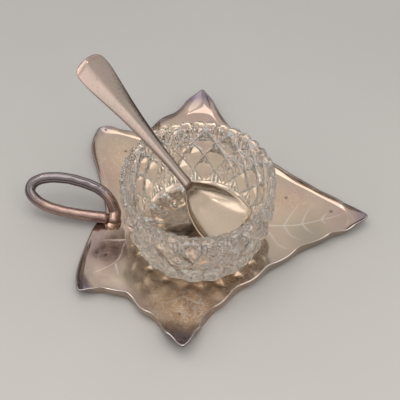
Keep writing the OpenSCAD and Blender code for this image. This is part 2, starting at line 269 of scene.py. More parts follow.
leafVeins = [  # struck lines of the leaf, each from its root outwards
    [(22, 5.1), (27.8, 5.3), (33.7, 6.2), (40.2, 8.4), (44.6, 10), (47.6, 11.6)],
    [(27.8, 5.3), (30.2, 10.2), (33.1, 15.3)],
    [(27.8, 5.3), (30.3, 1.3), (33.6, -0.3)],
    [(33.7, 6.2), (35, 10.4), (36.9, 14.2)],
    [(34, 6.2), (35.6, 4), (37.8, 2.5)],
    [(40.2, 8.4), (41, 10), (42.3, 11.5)],
    [(40.2, 8.4), (40.9, 7.5), (41.6, 6.8)],
    [(22.4, 3), (24.2, 0.6), (26.1, -2.5), (28.4, -3.9), (30.4, -3.9)],
    [(-24.4, 1.5), (-23.5, -3.9), (-23.9, -7.3), (-24.6, -10.2), (-26.1, -12.8), (-29.4, -15.5),
     (-32.5, -17.3)],
    [(-23.5, -3.9), (-27, -4.2), (-30.8, -4.4)],
    [(-23.5, -3.9), (-22.7, -6.4), (-21.1, -9.2), (-18.8, -12.8), (-16.3, -15.5)],
    [(-25.9, -13.2), (-25.2, -15.6), (-24.3, -17.9)],
    [(-3, -22), (-3.4, -28), (-3, -34)],
    [(-3.2, -25), (-7, -27.4), (-10, -28.2)],
    [(-3.2, -25), (0.8, -27), (4.2, -27.4)],
    [(-2, 34), (-1.6, 40), (-1.2, 46)],
]


def leafCorner(corner, inset):
    reach, turn = corner
    a = math.radians(turn)
    far = leafTray["seat"] + reach - inset
    return np.array(leafTray["middle"]) + far * np.array([math.cos(a), math.sin(a)])


def leafOutline(tipInsets, notchInsets, wave):
    s = leafTray
    q = s["notchRound"]
    u = (np.arange(s["edgeSteps"]) * 2 / s["edgeSteps"] - 1)[:, None]
    sides = []
    count = len(s["tips"])

    def share(x):
        # how far along a flank's straight line, rounded off in the notch
        return np.where(x < -q, 0, np.where(x > q, x, (x + q) ** 2 / (4 * q)))

    for k in range(count):
        after = (k + 1) % count
        a = leafCorner(s["tips"][k], tipInsets[k])
        b = leafCorner(s["tips"][after], tipInsets[after])
        n = leafCorner(s["notches"][k], notchInsets[k])
        along = np.where(u < 0, (n - a) / np.linalg.norm(n - a), (b - n) / np.linalg.norm(b - n))
        outward = np.stack([along[:, 1], -along[:, 0]], 1)
        swell = np.where(u < 0, *s["swells"][k])
        skew = np.where(u < 0, *s["skews"][k])
        bow = swell * np.sin(np.pi * abs(u) ** skew) + wave * np.sin(s["waves"] * np.pi * abs(u))
        sides.append(n + (a - n) * share(-u) + (b - n) * share(u) + outward * bow)
    return np.vstack(sides)


def evenOut(values, spans):
    # running means along a closed outline
    for span in spans:
        values = sum(np.roll(values, k, axis=0) for k in range(-span, span + 1)) / (2 * span + 1)
    return values


def veinRelief(xy):
    s = leafTray
    height = np.zeros(len(xy))
    for vein in leafVeins:
        route = curveThrough(vein, s["veinSteps"])
        near = ((xy > route.min(0) - s["veinMargin"]) & (xy < route.max(0) + s["veinMargin"])).all(1)
        if not near.any():
            continue
        p = xy[near]
        best = np.zeros(len(p))
        for k in range(len(route) - 1):
            a, b = route[k], route[k + 1]
            t = np.clip(((p - a) @ (b - a)) / ((b - a) @ (b - a)), 0, 1)
            gap = np.linalg.norm(p - a - t[:, None] * (b - a), axis=1)
            along = (k + t) / (len(route) - 1)
            width = s["veinWidth"] * (1 - s["veinTaper"] * along)
            best = np.maximum(best, (1 - s["veinFade"] * along ** 2) * np.exp(-(gap / width) ** 2))
        height[near] = np.maximum(height[near], best)
    return height


def tipBend(xy):
    # height of the planes bent up at the tips, and how far into one of them each point lies
    s = leafTray
    lift, into = np.zeros(len(xy)), np.zeros(len(xy))
    for k, tip in enumerate(s["tips"]):
        length, bow = s["folds"][k], s["foldBows"][k]
        fold = leafCorner(tip, length)
        outward = fold - np.array(s["middle"])
        outward = outward / np.linalg.norm(outward)
        ahead = (xy - fold) @ outward
        aside = np.abs((xy - fold) @ np.array([-outward[1], outward[0]]))
        beyond = np.linalg.norm(xy - fold + bow * outward, axis=1) - bow
        soft = (np.sqrt(beyond ** 2 + s["foldSoft"] ** 2) + beyond) / 2
        fade = smoothStep(-2 * length, -length / 2, ahead) * (1 - smoothStep(*s["foldAside"], aside))
        lift = lift + s["foldSlopes"][k] * soft * fade
        into = np.maximum(into, s["tipTarnishAndShade"][k] * smoothStep(0, s["tipDeep"] * length, ahead))
    return lift, into


def makeTray(material):
    s = leafTray
    lobes, steps = len(s["tips"]), s["edgeSteps"]
    count = lobes * steps
    u = np.abs(np.tile(np.arange(steps) * 2 / steps - 1, lobes))  # 0 in a notch, 1 at a tip
    edge = np.repeat(np.arange(lobes), steps)
    nearest = np.where(np.tile(np.arange(steps) < steps // 2, lobes), edge, (edge + 1) % lobes)

    def blend(name, where):
        return evenOut(np.array(s[name], float)[where], s["blends"][name])

    rim = evenOut(leafOutline([0] * lobes, [0] * lobes, s["wave"]), s["blends"]["rim"])
    bed = evenOut(leafOutline(s["tipBorders"], s["borders"], 0), s["blends"]["bed"])
    stemUp = np.where(edge == s["stemEdge"], smoothStep(*s["stemFlat"], u), 1)
    step = np.linalg.norm(rim - np.roll(rim, 1, axis=0), axis=1)
    lap = np.cumsum(step) / step.sum() * 2 * np.pi
    drift, often = s["crimpDrift"]
    crimp = np.sin(round(step.sum() / s["crimpLength"]) * lap + drift * np.sin(often * lap))
    crimp = crimp * (1 - smoothStep(s["crimpEnd"], 1, u)) * stemUp * blend("crimps", edge)
    low = 1 - (1 - np.array(s["tipLips"])[nearest]) * smoothStep(*s["tipLow"], u)
    rise = (blend("lips", edge) * low + s["crimpRise"] * np.roll(crimp, s["crimpLag"])) * stemUp
    middle = np.array(s["middle"])
    run = rim - bed
    outward = run / np.linalg.norm(run, axis=1)[:, None]
    run = run + outward * crimp[:, None]
    wide = np.linalg.norm(run, axis=1)
    # painted shade: the rim's dark line, strongest along the back edges
    black, plum = blend("blackLines", edge), blend("plums", nearest)
    cove = np.radians(blend("coves", edge))

    def relief(xy):
        begin, full = s["seatEase"]
        clear = smoothStep(s["seat"] + begin, s["seat"] + full, np.linalg.norm(xy, axis=1))
        lowest = sum(height for _, _, height in s["dents"])
        uneven = ripple(xy[:, 0], xy[:, 1], s["dents"]) + lowest
        return clear * (veinRelief(xy) * s["veinHeight"] + uneven)

    def border(t):
        # how far across and up the turned-up border is at share t, and how steeply it stands there
        flat, full = np.sin(cove), 1 - np.cos(cove)
        acrossSlope, upSlope = cove * np.cos(cove * t) / flat, cove * np.sin(cove * t) / full
        steep = np.arctan2(rise * upSlope, wide * acrossSlope + 1e-6)
        return np.sin(cove * t) / flat, (1 - np.cos(cove * t)) / full, steep

    rings, shares = [], {"edgeTarnishAndShadeShare": [], "rimWearAndHighlightShare": [], "rimShadeShare": []}

    # dark carries tarnish and painted shade, worn the pale colour that is partly a painted highlight, line
    # the painted shade line
    def addRing(xy, z, dark=0.0, worn=0.0, line=0.0):
        rings.append(np.column_stack([xy, z]))
        shares["edgeTarnishAndShadeShare"].append(dark + np.zeros(count))
        shares["rimWearAndHighlightShare"].append(worn * (1 - black))
        shares["rimShadeShare"].append(line * black)

    for k in range(1, s["floorRings"] + 1):
        rho = (k / s["floorRings"]) ** s["floorCrowd"]
        xy = middle + rho * (bed - middle)
        addRing(xy, s["sheet"] + relief(xy), plum * smoothStep(s["plumStart"], 1, rho))
    bedRelief = relief(bed)
    for k in range(1, s["borderRings"] + 1):
        t = k / s["borderRings"]
        across, up, steep = border(t)
        z = s["sheet"] + rise * up + bedRelief * (1 - t) ** 2
        addRing(bed + run * across[:, None], z, np.maximum(plum, t ** 3))
    # the turned-up edge is rounded over from the inside face to the outside face
    over = np.column_stack([outward * np.sin(steep)[:, None], -np.cos(steep)])
    ahead = np.column_stack([outward * np.cos(steep)[:, None], np.sin(steep)])
    top = rings[-1]
    for k in range(1, s["rimRings"] + 1):
        f = math.pi * k / s["rimRings"]
        p = top + s["rimRadius"] * ((1 - math.cos(f)) * over + math.sin(f) * ahead)
        # the rim's crest takes painted shade on the back edges and a pale colour, partly wear and partly
        # painted highlight, on the front edges
        addRing(p[:, :2], p[:, 2], s["rimDark"] * black, s["rimWearAndHighlight"] * math.sin(f) ** 2, 1.0)
    for k in range(s["borderRings"] - 1, -1, -1):
        across, up, steep = border(k / s["borderRings"])
        xy = bed + run * across[:, None] + outward * (s["sheet"] * np.sin(steep))[:, None]
        addRing(xy, s["sheet"] + rise * up - s["sheet"] * np.cos(steep), s["wallDark"])
    for k in range(s["underRings"], 0, -1):
        rho = k / s["underRings"]
        xy = middle + rho * (bed - middle)
        addRing(xy, relief(xy) * smoothStep(1, s["underEnd"], rho) * s["underRelief"])
    points = np.vstack(rings + [[[*middle, s["sheet"]], [*middle, 0]]])
    lift, into = tipBend(points[:, :2])
    points[:, 2] += lift
    hub = len(points) - 2
    faces = stackFaces(len(rings), count) + fanFaces(hub, 0, count)
    faces += fanFaces(hub + 1, (len(rings) - 1) * count, count, flip=True)
    tray = makePiece("leafTray", points, faces, material)
    x, y, z = points.T
    pits = [(*pit, s["pitRadius"], 1.0) for pit in s["pits"]]
    spotTints = [("brownAndGlassLightShare", s["brownsAndGlassLight"]), ("blushShare", s["blushes"]), ("dishShadeShare", s["dishShadeGreys"])]
    for name, spots in spotTints + [("pitShare", pits)]:
        share = np.zeros(len(points))
        for spotX, spotY, reach, most in spots:
            far = np.hypot(x - spotX, y - spotY) / reach
            share = np.maximum(share, most * np.exp(-far ** 2))
        paintAttribute(tray, name, share)
    for name, values in shares.items():
        paintAttribute(tray, name, np.concatenate(values + [[0, 0]]))
    paintAttribute(tray, "tipTarnishAndShadeShare", into)
    onTop = z > s["sheet"] - s["veinSkin"]
    clear = smoothStep(s["seat"], s["seat"] + s["seatEase"][1], np.hypot(x, y))
    paintAttribute(tray, "veinShare", s["veinShine"] * np.where(onTop, veinRelief(points[:, :2]), 0) * clear)
    return tray


plateFinish = {  # a band: from and to which value of a pattern, and the share that each end gives
    "champagne": "#C8B6A1",
    "rose": "#BAA196",
    "gold": "#BC987B",
    "tarnish": "#8A7E88",
    "olive": "#A59B8D",
    "rimShadeColour": "#463D40",
    "worn": "#DDD4CC",
    "pit": "#3A2F2A",
    "patch": 14.0,  # size of a colour patch
    "patchBand": (0.40, 0.66, 0.0, 0.6),
    "blush": 0.7,
    "hollow": 22.4,
    "hollowBand": (0.52, 0.74, 0.0, 0.4),
    "brown": 0.85,
    "mottle": 2.2,
    "roughBand": (0.3, 0.7, 0.07, 0.19),
    "stainRough": 0.3,
    "thread": 3.4,  # winding pale threads through the brown patches
    "threadBand": (0.0, 0.06, 0.8, 0.0),
    "tipDark": 0.9,
    "scratch": 0.5,
    "scratchDepth": 0.02,
}


def silverPlateOnSheet():
    # Struck sheet, silver plated, long unpolished: warm grey mirror gone satin, rosier where the plate is
    # thin, golden in the hollows and, partly as painted light from the glass, round the dish; plum grey along
    # the edges and in the tips, partly as painted shade; a painted shade line on the back rims and a pale
    # crest, partly painted highlight, on the front rims
    f = plateFinish
    material, tree, place = newMaterial("silverPlateOnSheet")
    brown = paintedShare(tree, "brownAndGlassLightShare")
    patch = noiseShare(tree, place, perMm(f["patch"]), Detail=3.0, Roughness=0.55)
    hollow = noiseShare(tree, place, perMm(f["hollow"]), Detail=2.0, Distortion=0.6)
    mottle = noiseShare(tree, place, perMm(f["mottle"]), Detail=6.0, Roughness=0.65)
    thread = noiseShare(tree, place, perMm(f["thread"]), Detail=1.0, Distortion=2.0)
    rosy = mathShare(tree, "MULTIPLY_ADD", paintedShare(tree, "blushShare"), f["blush"],
                     mapRange(tree, patch, *f["patchBand"]), clamp=True)
    brownedAndGlassLit = mathShare(tree, "MULTIPLY_ADD", brown, f["brown"],
                        mapRange(tree, hollow, *f["hollowBand"]), clamp=True)
    fromMiddle = mathShare(tree, "ABSOLUTE", mathShare(tree, "SUBTRACT", thread, 0.5))
    threads = mathShare(tree, "MULTIPLY", mapRange(tree, fromMiddle, *f["threadBand"]), brown)
    # plum tarnish along the borders, and painted shade on the back rims
    edgeTarnishAndShade = mathShare(tree, "MULTIPLY", paintedShare(tree, "edgeTarnishAndShadeShare"), mottle)
    dark = mathShare(tree, "MULTIPLY_ADD", paintedShare(tree, "tipTarnishAndShadeShare"), f["tipDark"], edgeTarnishAndShade, clamp=True)
    # pale rubbed veins, and the rim's pale crest that is partly wear and partly painted highlight
    rubbedAndHighlit = mathShare(tree, "MAXIMUM", paintedShare(tree, "veinShare"), paintedShare(tree, "rimWearAndHighlightShare"))
    colour = mixColour(tree, rosy, f["champagne"], f["rose"])
    for share, over in (
            (brownedAndGlassLit, "gold"), (threads, "worn"), (paintedShare(tree, "dishShadeShare"), "olive"),
            (dark, "tarnish"), (paintedShare(tree, "rimShadeShare"), "rimShadeColour"), (rubbedAndHighlit, "worn"),
            (paintedShare(tree, "pitShare"), "pit")):
        colour = mixColour(tree, share, colour, f[over])
    satin = mathShare(tree, "MULTIPLY_ADD", brown, f["stainRough"], mapRange(tree, mottle, *f["roughBand"]))
    scratch = noiseShare(tree, place, perMm(f["scratch"]), Detail=4.0, Distortion=1.2)
    bump = addNode(tree, "ShaderNodeBump", inputs={
        "Strength": 0.10, "Distance": f["scratchDepth"] * mm, "Height": scratch})
    addSurface(tree, {"Base Color": colour, "Metallic": 1.0, "Roughness": satin, "Normal": bump.outputs[0]})
    return material


tray = makeTray(silverPlateOnSheet())
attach(tray, "tray")
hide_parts("leaf_tray")

print("stage: loop handle")
loopHandle = {
    "wire": 3.6,
    "stem": (-29.4, 7.2),
    "landingIn": 0.6,  # wire diameters from the stem notch to where both ends land
    "landingShift": 4.0,
    "length": 28.8,
    "width": 10.6,
    "turn": 5.0,  # swing of the loop in plan
    "climb": 5.0,
    "tilt": 38.0,
    "gap": 0.1,
    "shape": [  # shares of the length and the width, from the lower strand's end round to the upper strand's
        (0.085, 0), (0.4, -0.03), (0.64, -0.02), (0.84, 0.08), (0.965, 0.27), (1, 0.48), (0.95, 0.73),
        (0.8, 0.93), (0.58, 1), (0.34, 0.94), (0.17, 0.79), (0.07, 0.55)],
    # wire diameters from where both ends land
    "foot": [(-0.15, 0.75, 0.22), (-0.18, 0.2, 0), (-0.18, -0.4, -0.1)],
    "sides": 32,
    "curveSteps": 40,
    "ringStep": 0.25,
    "endFlat": 12.0,  # length over which each end is hammered flat
    "endSwell": 0.06,
    "capLength": 1.6,  # length over which an end rounds off
    "capBlunt": 0.15,
    "strapWide": 0.15,  # the upper strand's end is beaten into a strap this much wider
    "strapThin": 0.2,
    "striations": 9,
    "striationDepth": 0.07,
    "wobbles": [(0.03, 1.3, 2), (0.02, 0.55, 1)],  # depth, pace along the wire, turns round it
    "copperEnds": (0.30, 0.42),  # shares of the wire between which the lower strand's copper blush ends
    "copperBegins": (0.80, 0.88),  # and the upper strand's begins
}


def handleRoute():
    h = loopHandle
    climb, tilt, turn = [math.radians(h[name]) for name in ("climb", "tilt", "turn")]
    restZ = leafTray["sheet"] + h["wire"] / 2 + h["gap"]

    def at(p, q):
        along, wide = p * h["length"], q * h["width"]
        out = along * math.cos(climb)
        return np.array([
            h["stem"][0] + h["landingIn"] * h["wire"] - out * math.cos(turn),
            h["stem"][1] - h["landingShift"] + out * math.sin(turn) + wide * math.cos(tilt),
            restZ + along * math.sin(climb) + wide * math.sin(tilt)])

    foot = [at(0, 0) + np.array(step) * h["wire"] for step in h["foot"]]
    fine = curveThrough([at(*c) for c in h["shape"]] + foot, h["curveSteps"])
    run = np.concatenate([[0], np.cumsum(np.linalg.norm(np.diff(fine, axis=0), axis=1))])
    even = np.linspace(0, run[-1], int(run[-1] / h["ringStep"]))
    return np.column_stack([np.interp(even, run, fine[:, k]) for k in range(3)]), even


def makeHandle(material):
    h = loopHandle
    route, run = handleRoute()
    ahead = np.gradient(route, axis=0)
    ahead /= np.linalg.norm(ahead, axis=1)[:, None]
    side = np.array([0.0, 1.0, 0.2])  # carried along the wire, so that its rings don't twist
    around = roundAngles(h["sides"])
    rings, copper = [], []
    for p, t, here in zip(route, ahead, run):
        side = side - t * (side @ t)
        side /= np.linalg.norm(side)
        up = np.cross(t, side)
        toEnd = min(here, run[-1] - here)
        flat = 1 - smoothStep(0, h["endFlat"], toEnd)
        cap = math.sqrt(1 - (1 - min(1, toEnd / h["capLength"] + h["capBlunt"])) ** 2)
        r = h["wire"] / 2 * cap * (1 + h["endSwell"] * flat)
        r = r - h["striationDepth"] * flat * np.cos(h["striations"] * around) ** 2
        r = r + sum(depth * np.sin(here * pace + turns * around) for depth, pace, turns in h["wobbles"])
        ring = np.outer(np.cos(around) * r, side) + np.outer(np.sin(around) * r, up)
        strap = 1 - smoothStep(0, h["endFlat"], run[-1] - here)
        wideway = np.array([1.0, 0, 0]) - t * t[0]
        wideway /= np.linalg.norm(wideway)
        thinway = np.cross(t, wideway)
        ring = ring + h["strapWide"] * strap * np.outer(ring @ wideway, wideway)
        ring = ring - h["strapThin"] * strap * np.outer(ring @ thinway, thinway)
        rings.append(p + ring)
        share = here / run[-1]
        blush = max(1 - smoothStep(*h["copperEnds"], share), smoothStep(*h["copperBegins"], share))
        copper.append(np.full(h["sides"], blush))
    points = np.vstack(rings + [[route[0], route[-1]]])
    faces = stackFaces(len(rings), h["sides"], flip=True)
    faces += fanFaces(len(points) - 2, 0, h["sides"], flip=True)
    faces += fanFaces(len(points) - 1, (len(rings) - 1) * h["sides"], h["sides"])
    handle = makePiece("loopHandle", points, faces, material)
    paintAttribute(handle, "copperShare", np.concatenate(copper + [[1, 1]]))
    return handle


wireFinish = {
    "silver": "#887F81",
    "copper": "#AD9288",
    "dull": "#6E6466",
    "mottle": 1.6,
    "dullBand": (0.56, 0.78, 0.0, 0.7),
    "roughBand": (0.0, 1.0, 0.02, 0.14),
    "wornRough": 0.2,  # added where the plate is worn through
}


def silverPlateOnWire():
    # Drawn wire, silver plated and handled: dark bright mirror above, plate worn to a copper blush below
    f = wireFinish
    material, tree, place = newMaterial("silverPlateOnWire")
    mottle = noiseShare(tree, place, perMm(f["mottle"]), Detail=5.0, Roughness=0.6)
    blush = paintedShare(tree, "copperShare")
    worn = mixColour(tree, blush, f["silver"], f["copper"])
    dulled = mixColour(tree, mapRange(tree, mottle, *f["dullBand"]), worn, f["dull"])
    rough = mathShare(tree, "MULTIPLY_ADD", blush, f["wornRough"], mapRange(tree, mottle, *f["roughBand"]))
    addSurface(tree, {"Base Color": dulled, "Metallic": 1.0, "Roughness": rough})
    return material


handle = makeHandle(silverPlateOnWire())
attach(handle, "tray")
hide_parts("loop_handle")

print("stage: solder bead")
solderBead = {
    "middle": (-28.6, 2.3, 0.9),
    "size": (2.5, 1.9, 1.5),
    "rings": 24,
    "sides": 40,
    "lumps": 0.12,
    "wrinkles": 0.08,
    "flare": 0.8,  # below 1 the bead bulges
}


def makeBead(material):
    b = solderBead
    x, y, z = b["middle"]
    rings = []
    around = roundAngles(b["sides"])
    for k in range(b["rings"]):
        a = math.pi / 2 * k / b["rings"]
        lump = 1 + b["lumps"] * np.sin(3 * around + 2 * a) * math.cos(a)
        lump = lump + b["wrinkles"] * np.sin(5 * around + 7 * a)
        flare = math.cos(a) ** b["flare"]
        rings.append(np.column_stack([
            x + b["size"][0] * flare * lump * np.cos(around),
            y + b["size"][1] * flare * lump * np.sin(around),
            np.full(b["sides"], z + b["size"][2] * math.sin(a))]))
    points = np.vstack(rings + [[[x, y, z + b["size"][2]], [x, y, z]]])
    faces = stackFaces(len(rings), b["sides"], flip=True)
    faces += fanFaces(len(points) - 2, (b["rings"] - 1) * b["sides"], b["sides"])
    faces += fanFaces(len(points) - 1, 0, b["sides"], flip=True)
    return makePiece("solderBead", points, faces, material)


solderFinish = {
    "bright": "#CDB4A2",
    "flux": "#A98670",
    "grain": 0.8,
    "grainDepth": 0.1,
    "fluxBand": (0.42, 0.68),
    "rough": 0.3,
}


def softSolder():
    # Tin solder run cold by hand: dull, lumpy, browned by old flux
    f = solderFinish
    material, tree, place = newMaterial("softSolder")
    grain = noiseShare(tree, place, perMm(f["grain"]), Detail=4.0)
    colour = mixColour(tree, mapRange(tree, grain, *f["fluxBand"]), f["bright"], f["flux"])
    bump = addNode(tree, "ShaderNodeBump", inputs={
        "Strength": 0.4, "Distance": f["grainDepth"] * mm, "Height": grain})
    addSurface(tree, {
        "Base Color": colour, "Metallic": 1.0, "Roughness": f["rough"], "Normal": bump.outputs[0]})
    return material


bead = makeBead(softSolder())
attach(bead, "tray")
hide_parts("solder_bead")

print("stage: glass dish")
glassDish = {
    "seatZ": 0.96,  # a hair of air under the base
    "radius": 25.0,
    "baseRadius": 20.0,
    "height": 28.44,
    "floor": 6.5,
    "floorSink": 0.12,
    "floorRings": (0.75, 0.5, 0.25),
    "rimWall": 2.0,
    "flatRadius": 11.0,
    "bellyShare": 0.72,
    "rimDrawIn": 0.4,
    "bowlPower": 5,
    "bowlRings": 40,
    "bowlCrowd": 1.15,
    "bowlSettle": 0.80,  # share of the bowl's slope above which it follows the scallops
    "turn": 8.0,
    "repeats": 18,
    "steps": 24,  # columns and rows to a lozenge
    "bandMargin": 3.0,
    "bandLozenges": 2,  # height of the cut band
    "pointDepth": 1.2,
    "corner": 0.64,  # how far the points' corners are taken off
    "lean": 0.3,  # how far a point's top may stand off its middle
    "mitreDepth": 0.3,
    "mitreShare": 0.16,
    "starDepth": 0.85,
    "starShare": 0.26,
    "starEvery": 3,
    "starPoint": 0.6,  # share of the point's depth left under a star
    "fanShare": 0.2,
    "fanGap": 0.4,
    "fanPoint": 0.5,
    "rayStart": 11.0,
    "rayDepth": 2.0,
    "rayPower": 1.6,
    "rayRings": 17,
    "veeDepth": 0.5,
    "veeEnds": (0.15, 0.75),  # shares of a ray between which its cross cuts are full
    "footCut": 1.6,
    "footBevel": 0.8,
    "footDrawIn": 0.5,
    "footRings": (0.3, 0.65),
    "scallops": 36,
    "scallopDrop": 0.8,
    "rimCut": 0.5,
    "rimRings": (0.25, 0.5, 0.75, 0.92),
    "rimBevel": (0.4, 0.3),  # outside, inside
    "rimNick": 0.6,  # share of the nicks left on top of the rim
    "rimCrown": 0.05,
}


def dishOuter(z):
    d = glassDish
    t = z / d["height"]
    over = np.maximum(0, (t - d["bellyShare"]) / (1 - d["bellyShare"]))
    swell = 1 - (1 - np.minimum(1, t / d["bellyShare"])) ** 2
    return d["baseRadius"] + (d["radius"] - d["baseRadius"]) * swell - d["rimDrawIn"] * over ** 2


def handOf(column, row, seed):
    # a number from -1 to 1 that belongs to one lozenge: no two were ground quite alike
    return 2 * ((np.sin(column * 12.99 + row * 78.23 + seed * 37.7) * 4375.85) % 1) - 1


def lozengeCut(i, j):
    # depth of the cutting at column i, row j of the band: mitres round points with their corners taken off, a
    # star in every third column of them, and fans in the half lozenges above and below
    d = glassDish
    n = d["steps"]
    half = n / 2
    column, line = (i + j) // n, (i - j) // n
    a, b = (i + j) % n / half - 1, (i - j) % n / half - 1
    row = column - line
    around = column % d["repeats"]

    def pull(x, top):
        # how far down a point's slope, from its top to its foot
        return np.where(x > top, (x - top) / (1 - top), (top - x) / (1 + top))

    def cut(x, depth, share):
        # a vee along the line where x is 0
        return depth * np.clip(1 - np.abs(x) / share, 0, 1)

    sideA = pull(a, d["lean"] * handOf(around, row, 1))
    sideB = pull(b, d["lean"] * handOf(around, row, 2))
    point = d["pointDepth"] * np.maximum.reduce([sideA, sideB, d["corner"] * (sideA + sideB)])
    upright, level = (a + b) / 2, (a - b) / 2
    star = np.maximum.reduce([cut(x, d["starDepth"], d["starShare"]) for x in (a, b, upright, level)])
    fan = np.maximum.reduce([
        cut(x, d["starDepth"], d["fanShare"]) for x in (upright, np.abs(upright) - d["fanGap"])])
    middle = np.where(around % d["starEvery"] == 0, np.maximum(star, d["starPoint"] * point), point)
    whole = (row > 0) & (row < 2 * d["bandLozenges"])
    field = np.where(whole, middle, np.maximum(fan, d["fanPoint"] * point))
    return field + cut(1 - np.maximum(np.abs(a), np.abs(b)), d["mitreDepth"], d["mitreShare"])


def makeDish(material):
    d = glassDish
    count = d["repeats"] * d["steps"]
    i = np.arange(count)
    angle = math.radians(d["turn"]) + roundAngles(count)
    rings = []

    def addRing(r, z):
        high = z + np.zeros(count) + d["seatZ"]
        rings.append(np.column_stack([r * np.cos(angle), r * np.sin(angle), high]))

    # base: a plain disc, then rays cut up into the foot that leave a point under every lozenge
    toPoint = np.abs((i + d["steps"] // 2) % d["steps"] - d["steps"] / 2) / (d["steps"] / 2)
    foot = d["baseRadius"] - d["footBevel"]
    addRing(d["rayStart"] / 2, 0)
    quarter = d["steps"] // 4
    vee = 1 - np.abs(i % (2 * quarter) - quarter) / quarter
    begun, ending = d["veeEnds"]
    for t in np.linspace(0, 1, d["rayRings"]):
        r = d["rayStart"] + (foot - d["rayStart"]) * t - d["footCut"] * toPoint * t
        cut = d["veeDepth"] * np.maximum(vee, abs(4 * t % 2 - 1)) * smoothStep(0, begun, t)
        cut = cut * (1 - smoothStep(ending, 1, t))
        addRing(r, d["rayDepth"] * toPoint * t ** d["rayPower"] + cut)
    low = d["rayDepth"] * toPoint
    for t in d["footRings"]:
        z = low + (d["bandMargin"] - low) * t
        addRing(dishOuter(z) - d["footCut"] * toPoint * (1 - t) - d["footDrawIn"] * (1 - t) ** 2, z)
    rows = d["bandLozenges"] * d["steps"]
    bandHigh = d["height"] - d["bandMargin"]
    for j in range(rows + 1):
        z = d["bandMargin"] + (bandHigh - d["bandMargin"]) * j / rows
        addRing(dishOuter(z) - lozengeCut(i, j), z)
    # rim: arched scallops with a nick between them
    per = count // d["scallops"]
    arch = np.abs((i % per) / per * 2 - 1)
    rimTop = d["height"] - d["scallopDrop"] * arch ** 2
    nick = d["rimCut"] * arch ** 4
    for t in d["rimRings"]:
        addRing(dishOuter(bandHigh + (d["height"] - bandHigh) * t) - nick, bandHigh + (rimTop - bandHigh) * t)
    outerEdge = dishOuter(d["height"])
    mouth = outerEdge - d["rimWall"]
    outside, inside = d["rimBevel"]
    addRing(outerEdge - outside - nick * d["rimNick"], rimTop)
    outerRings = len(rings)
    addRing((outerEdge + mouth) / 2, rimTop + d["rimCrown"])
    addRing(mouth + inside, rimTop)
    deep = d["height"] - d["floor"]
    for k in range(1, d["bowlRings"] + 1):
        t = 1 - (k / d["bowlRings"]) ** d["bowlCrowd"]
        r = d["flatRadius"] + (mouth - d["flatRadius"]) * t
        settle = smoothStep(d["bowlSettle"], 1.0, t)
        addRing(r, d["floor"] + deep * t ** d["bowlPower"] - (d["height"] - rimTop) * settle)
    for share in d["floorRings"]:
        addRing(d["flatRadius"] * share, d["floor"] - d["floorSink"] * (1 - share ** 2))
    hubs = [[0, 0, d["seatZ"]], [0, 0, d["seatZ"] + d["floor"] - d["floorSink"]]]
    points = np.vstack(rings + [hubs])
    radius = np.hypot(points[:, 0], points[:, 1])
    faces = []
    n = (i + 1) % count
    for k in range(len(rings) - 1):
        a, b, c, e = k * count + i, k * count + n, (k + 1) * count + i, (k + 1) * count + n
        if k < outerRings:
            # each cell is folded along the deeper of its two diagonals, so that the cuts stay sharp
            rising = radius[a] + radius[e] < radius[b] + radius[c]
            first = np.where(rising[:, None], np.stack([a, b, e], 1), np.stack([a, b, c], 1))
            second = np.where(rising[:, None], np.stack([a, e, c], 1), np.stack([b, e, c], 1))
            faces += first.tolist() + second.tolist()
        else:
            faces += np.stack([a, b, e, c], 1).tolist()
    hub = len(points) - 2
    faces += fanFaces(hub, 0, count, flip=True)
    faces += fanFaces(hub + 1, (len(rings) - 1) * count, count)
    dish = makePiece("glassDish", points, faces, material)
    flatFaces = 2 * count * outerRings
    dish.data.polygons.foreach_set("use_smooth", np.arange(len(faces)) >= flatFaces)
    return dish


glassFinish = {"tint": "#FFFFFF", "ior": 1.53, "rough": 0.0}


def cutLeadGlass():
    # Clear pressed glass with cut mitres: no colour of its own, every facet throws light about
    f = glassFinish
    material, tree, _ = newMaterial("cutLeadGlass")
    addSurface(tree, {
        "Base Color": hexLinear(f["tint"]), "Roughness": f["rough"], "IOR": f["ior"],
        "Transmission Weight": 1.0})
    return material


dish = makeDish(cutLeadGlass())
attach(dish, "dish")
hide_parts("glass_dish")

